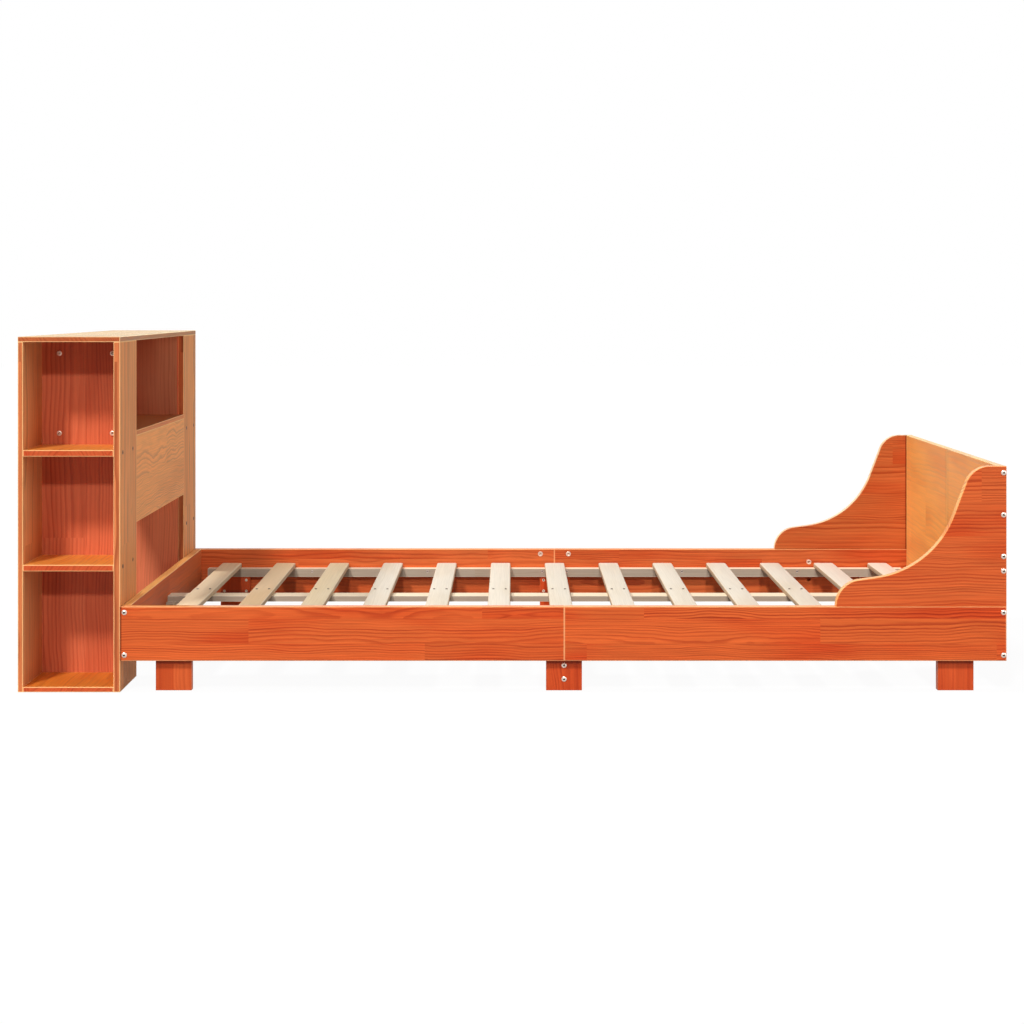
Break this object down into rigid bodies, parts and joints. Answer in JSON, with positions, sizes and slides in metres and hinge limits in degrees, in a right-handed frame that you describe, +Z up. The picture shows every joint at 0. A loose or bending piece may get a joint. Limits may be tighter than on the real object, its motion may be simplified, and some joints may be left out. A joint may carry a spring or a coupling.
{
  "type": "bed frame",
  "caption": "Single pine bed frame with a bookcase headboard, slatted base on block legs and a low footboard between swan-curved wings.",
  "frame": {"origin": "on the floor under the middle of the whole bed's length and width", "axes": "+Z up, +X from the headboard to the footboard, +Y across the bed to its right side as seen from the foot"},
  "size_m": [2.292, 0.961, 0.824],
  "materials": {
    "waxed_pine": "solid pine under a red-orange wax, semi-gloss, with darker grain lines",
    "pale_pine": "bare planed pine, pale and matt",
    "zinc_steel": "bright zinc-plated steel"
  },
  "bodies": {
    "root": {"centre_beam_foot_half": "pale_pine", "centre_beam_head_half": "pale_pine", "foot_beam_cleat": "pale_pine", "frame_bolts": "zinc_steel", "head_beam_cleat": "pale_pine", "head_rail": "waxed_pine", "headboard_centre_panel": "waxed_pine", "headboard_top": "waxed_pine", "ledger_screws": "zinc_steel", "left_bottom_board": "waxed_pine", "left_divider": "waxed_pine", "left_foot_leg": "waxed_pine", "left_footboard_half": "waxed_pine", "left_head_leg": "waxed_pine", "left_ledger_foot_half": "pale_pine", "left_ledger_head_half": "pale_pine", "left_lower_shelf": "waxed_pine", "left_mattress_side_panel": "waxed_pine", "left_middle_leg": "waxed_pine", "left_side_rail_foot_half": "waxed_pine", "left_side_rail_head_half": "waxed_pine", "left_upper_shelf": "waxed_pine", "left_wall_side_panel": "waxed_pine", "left_wing": "waxed_pine", "leg_screws": "zinc_steel", "middle_cross_board": "waxed_pine", "niche_back": "waxed_pine", "niche_floor": "waxed_pine", "rail_connectors": "zinc_steel", "right_bottom_board": "waxed_pine", "right_divider": "waxed_pine", "right_foot_leg": "waxed_pine", "right_footboard_half": "waxed_pine", "right_head_leg": "waxed_pine", "right_ledger_foot_half": "pale_pine", "right_ledger_head_half": "pale_pine", "right_lower_shelf": "waxed_pine", "right_mattress_side_panel": "waxed_pine", "right_middle_leg": "waxed_pine", "right_side_rail_foot_half": "waxed_pine", "right_side_rail_head_half": "waxed_pine", "right_upper_shelf": "waxed_pine", "right_wall_side_panel": "waxed_pine", "right_wing": "waxed_pine", "shelf_screws": "zinc_steel", "slat_01": "pale_pine", "slat_02": "pale_pine", "slat_03": "pale_pine", "slat_04": "pale_pine", "slat_05": "pale_pine", "slat_06": "pale_pine", "slat_07": "pale_pine", "slat_08": "pale_pine", "slat_09": "pale_pine", "slat_10": "pale_pine", "slat_11": "pale_pine", "slat_12": "pale_pine", "slat_13": "pale_pine", "slat_screws": "zinc_steel", "top_cleats": "waxed_pine"}
  },
  "joints": []
}
